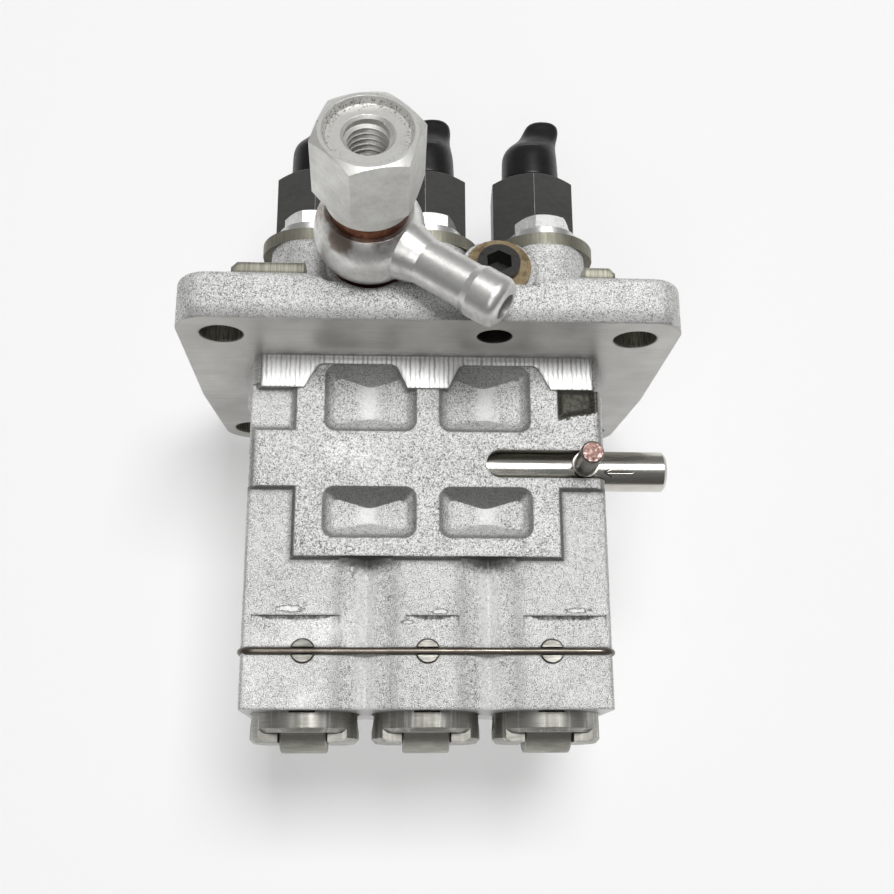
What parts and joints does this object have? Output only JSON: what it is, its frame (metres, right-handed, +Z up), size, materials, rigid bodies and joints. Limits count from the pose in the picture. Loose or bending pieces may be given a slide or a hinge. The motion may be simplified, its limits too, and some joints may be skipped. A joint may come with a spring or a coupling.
{
  "type": "diesel injection pump",
  "caption": "Flange-mounted in-line diesel injection pump with roller tappets, rack-turned plungers, capped delivery valve holders and a banjo fuel inlet.",
  "frame": {"origin": "middle of the plunger row on the flange's mating face", "axes": "+X along the plunger row towards the rack's outer end, +Y to the back, +Z up along the plungers to the delivery side"},
  "size_m": [0.103, 0.1127, 0.1491],
  "materials": {
    "cast_aluminium": "sand cast, machined on the joint faces",
    "phosphated_steel": "matt phosphate",
    "ground_steel": "ground and oiled",
    "black_oxide_steel": "satin black oxide",
    "spring_steel": "oil tempered wire",
    "zinc_plated_steel": "bright zinc",
    "yellow_zinc": "worn yellow passivate",
    "copper": "soft copper",
    "black_vinyl": "glossy soft vinyl",
    "seal_rubber": "nitrile"
  },
  "bodies": {
    "housing": {"pump_housing": "cast_aluminium", "barrel_1": "phosphated_steel", "barrel_2": "phosphated_steel", "barrel_3": "phosphated_steel", "barrel_o_rings": "seal_rubber", "upper_spring_seats": "ground_steel", "tappet_guide_pins": "spring_steel", "retaining_wire": "spring_steel", "delivery_valve_seats": "ground_steel", "delivery_gaskets": "copper", "delivery_holder_1": "black_oxide_steel", "delivery_holder_2": "black_oxide_steel", "delivery_holder_3": "black_oxide_steel", "clamp_washers": "zinc_plated_steel", "clamp_bolts": "zinc_plated_steel", "inlet_banjo": "zinc_plated_steel", "inlet_union_bolt": "zinc_plated_steel", "lower_copper_washers": "copper", "upper_copper_washers": "copper", "bleed_plug": "black_oxide_steel", "bleed_plug_washer": "yellow_zinc"},
    "rack": {"control_rack": "ground_steel", "rack_pin": "ground_steel"},
    "tappet_body_1": {"tappet_1": "ground_steel", "roller_pin_1": "ground_steel", "lower_spring_seat_1": "ground_steel", "plunger_spring_1": "spring_steel"},
    "roller_body_1": {"roller_1": "ground_steel"},
    "plunger_body_1": {"plunger_1": "ground_steel"},
    "sleeve_body_1": {"control_sleeve_1": "phosphated_steel"},
    "valve_body_1": {"delivery_valve_1": "ground_steel", "delivery_spring_1": "spring_steel"},
    "cap_body_1": {"dust_cap_1": "black_vinyl"},
    "tappet_body_2": {"tappet_2": "ground_steel", "roller_pin_2": "ground_steel", "lower_spring_seat_2": "ground_steel", "plunger_spring_2": "spring_steel"},
    "roller_body_2": {"roller_2": "ground_steel"},
    "plunger_body_2": {"plunger_2": "ground_steel"},
    "sleeve_body_2": {"control_sleeve_2": "phosphated_steel"},
    "valve_body_2": {"delivery_valve_2": "ground_steel", "delivery_spring_2": "spring_steel"},
    "cap_body_2": {"dust_cap_2": "black_vinyl"},
    "tappet_body_3": {"tappet_3": "ground_steel", "roller_pin_3": "ground_steel", "lower_spring_seat_3": "ground_steel", "plunger_spring_3": "spring_steel"},
    "roller_body_3": {"roller_3": "ground_steel"},
    "plunger_body_3": {"plunger_3": "ground_steel"},
    "sleeve_body_3": {"control_sleeve_3": "phosphated_steel"},
    "valve_body_3": {"delivery_valve_3": "ground_steel", "delivery_spring_3": "spring_steel"},
    "cap_body_3": {"dust_cap_3": "black_vinyl"}
  },
  "joints": [
    {"name": "rack_travel", "type": "slide", "parent": "housing", "child": "rack", "axis": [1, 0, 0], "range_m": [-0.01, 0.001]},
    {"name": "tappet_lift_1", "type": "slide", "parent": "housing", "child": "tappet_body_1", "axis": [0, 0, 1], "range_m": [0, 0.007], "stiffness_N_per_m": 6000, "springref_m": -0.004, "deforming": ["plunger_spring_1"]},
    {"name": "roller_spin_1", "type": "hinge", "parent": "tappet_body_1", "child": "roller_body_1", "pos_m": [-0.025, 0, -0.0745], "axis": [1, 0, 0], "continuous": true},
    {"name": "plunger_turn_1", "type": "hinge", "parent": "tappet_body_1", "child": "plunger_body_1", "pos_m": [-0.025, 0, -0.045], "axis": [0, 0, 1], "range_deg": [-76, 8]},
    {"name": "sleeve_turn_1", "type": "hinge", "parent": "housing", "child": "sleeve_body_1", "pos_m": [-0.025, 0, -0.0236], "axis": [0, 0, 1], "range_deg": [-76, 8]},
    {"name": "delivery_valve_lift_1", "type": "slide", "parent": "housing", "child": "valve_body_1", "axis": [0, 0, 1], "range_m": [0, 0.002], "stiffness_N_per_m": 400, "springref_m": -0.004, "deforming": ["delivery_spring_1"]},
    {"name": "dust_cap_pull_1", "type": "slide", "parent": "housing", "child": "cap_body_1", "axis": [0, 0, 1], "range_m": [0, 0.014]},
    {"name": "tappet_lift_2", "type": "slide", "parent": "housing", "child": "tappet_body_2", "axis": [0, 0, 1], "range_m": [0, 0.007], "stiffness_N_per_m": 6000, "springref_m": -0.004, "deforming": ["plunger_spring_2"]},
    {"name": "roller_spin_2", "type": "hinge", "parent": "tappet_body_2", "child": "roller_body_2", "pos_m": [0, 0, -0.0745], "axis": [1, 0, 0], "continuous": true},
    {"name": "plunger_turn_2", "type": "hinge", "parent": "tappet_body_2", "child": "plunger_body_2", "pos_m": [0, 0, -0.045], "axis": [0, 0, 1], "range_deg": [-76, 8]},
    {"name": "sleeve_turn_2", "type": "hinge", "parent": "housing", "child": "sleeve_body_2", "pos_m": [0, 0, -0.0236], "axis": [0, 0, 1], "range_deg": [-76, 8]},
    {"name": "delivery_valve_lift_2", "type": "slide", "parent": "housing", "child": "valve_body_2", "axis": [0, 0, 1], "range_m": [0, 0.002], "stiffness_N_per_m": 400, "springref_m": -0.004, "deforming": ["delivery_spring_2"]},
    {"name": "dust_cap_pull_2", "type": "slide", "parent": "housing", "child": "cap_body_2", "axis": [0, 0, 1], "range_m": [0, 0.014]},
    {"name": "tappet_lift_3", "type": "slide", "parent": "housing", "child": "tappet_body_3", "axis": [0, 0, 1], "range_m": [0, 0.007], "stiffness_N_per_m": 6000, "springref_m": -0.004, "deforming": ["plunger_spring_3"]},
    {"name": "roller_spin_3", "type": "hinge", "parent": "tappet_body_3", "child": "roller_body_3", "pos_m": [0.025, 0, -0.0745], "axis": [1, 0, 0], "continuous": true},
    {"name": "plunger_turn_3", "type": "hinge", "parent": "tappet_body_3", "child": "plunger_body_3", "pos_m": [0.025, 0, -0.045], "axis": [0, 0, 1], "range_deg": [-76, 8]},
    {"name": "sleeve_turn_3", "type": "hinge", "parent": "housing", "child": "sleeve_body_3", "pos_m": [0.025, 0, -0.0236], "axis": [0, 0, 1], "range_deg": [-76, 8]},
    {"name": "delivery_valve_lift_3", "type": "slide", "parent": "housing", "child": "valve_body_3", "axis": [0, 0, 1], "range_m": [0, 0.002], "stiffness_N_per_m": 400, "springref_m": -0.004, "deforming": ["delivery_spring_3"]},
    {"name": "dust_cap_pull_3", "type": "slide", "parent": "housing", "child": "cap_body_3", "axis": [0, 0, 1], "range_m": [0, 0.014]}
  ],
  "couplings": [
    {"joint": "sleeve_turn_1", "follows": "rack_travel", "rad_per_m": 132.28},
    {"joint": "plunger_turn_1", "follows": "rack_travel", "rad_per_m": 132.28},
    {"joint": "sleeve_turn_2", "follows": "rack_travel", "rad_per_m": 132.28},
    {"joint": "plunger_turn_2", "follows": "rack_travel", "rad_per_m": 132.28},
    {"joint": "sleeve_turn_3", "follows": "rack_travel", "rad_per_m": 132.28},
    {"joint": "plunger_turn_3", "follows": "rack_travel", "rad_per_m": 132.28}
  ]
}
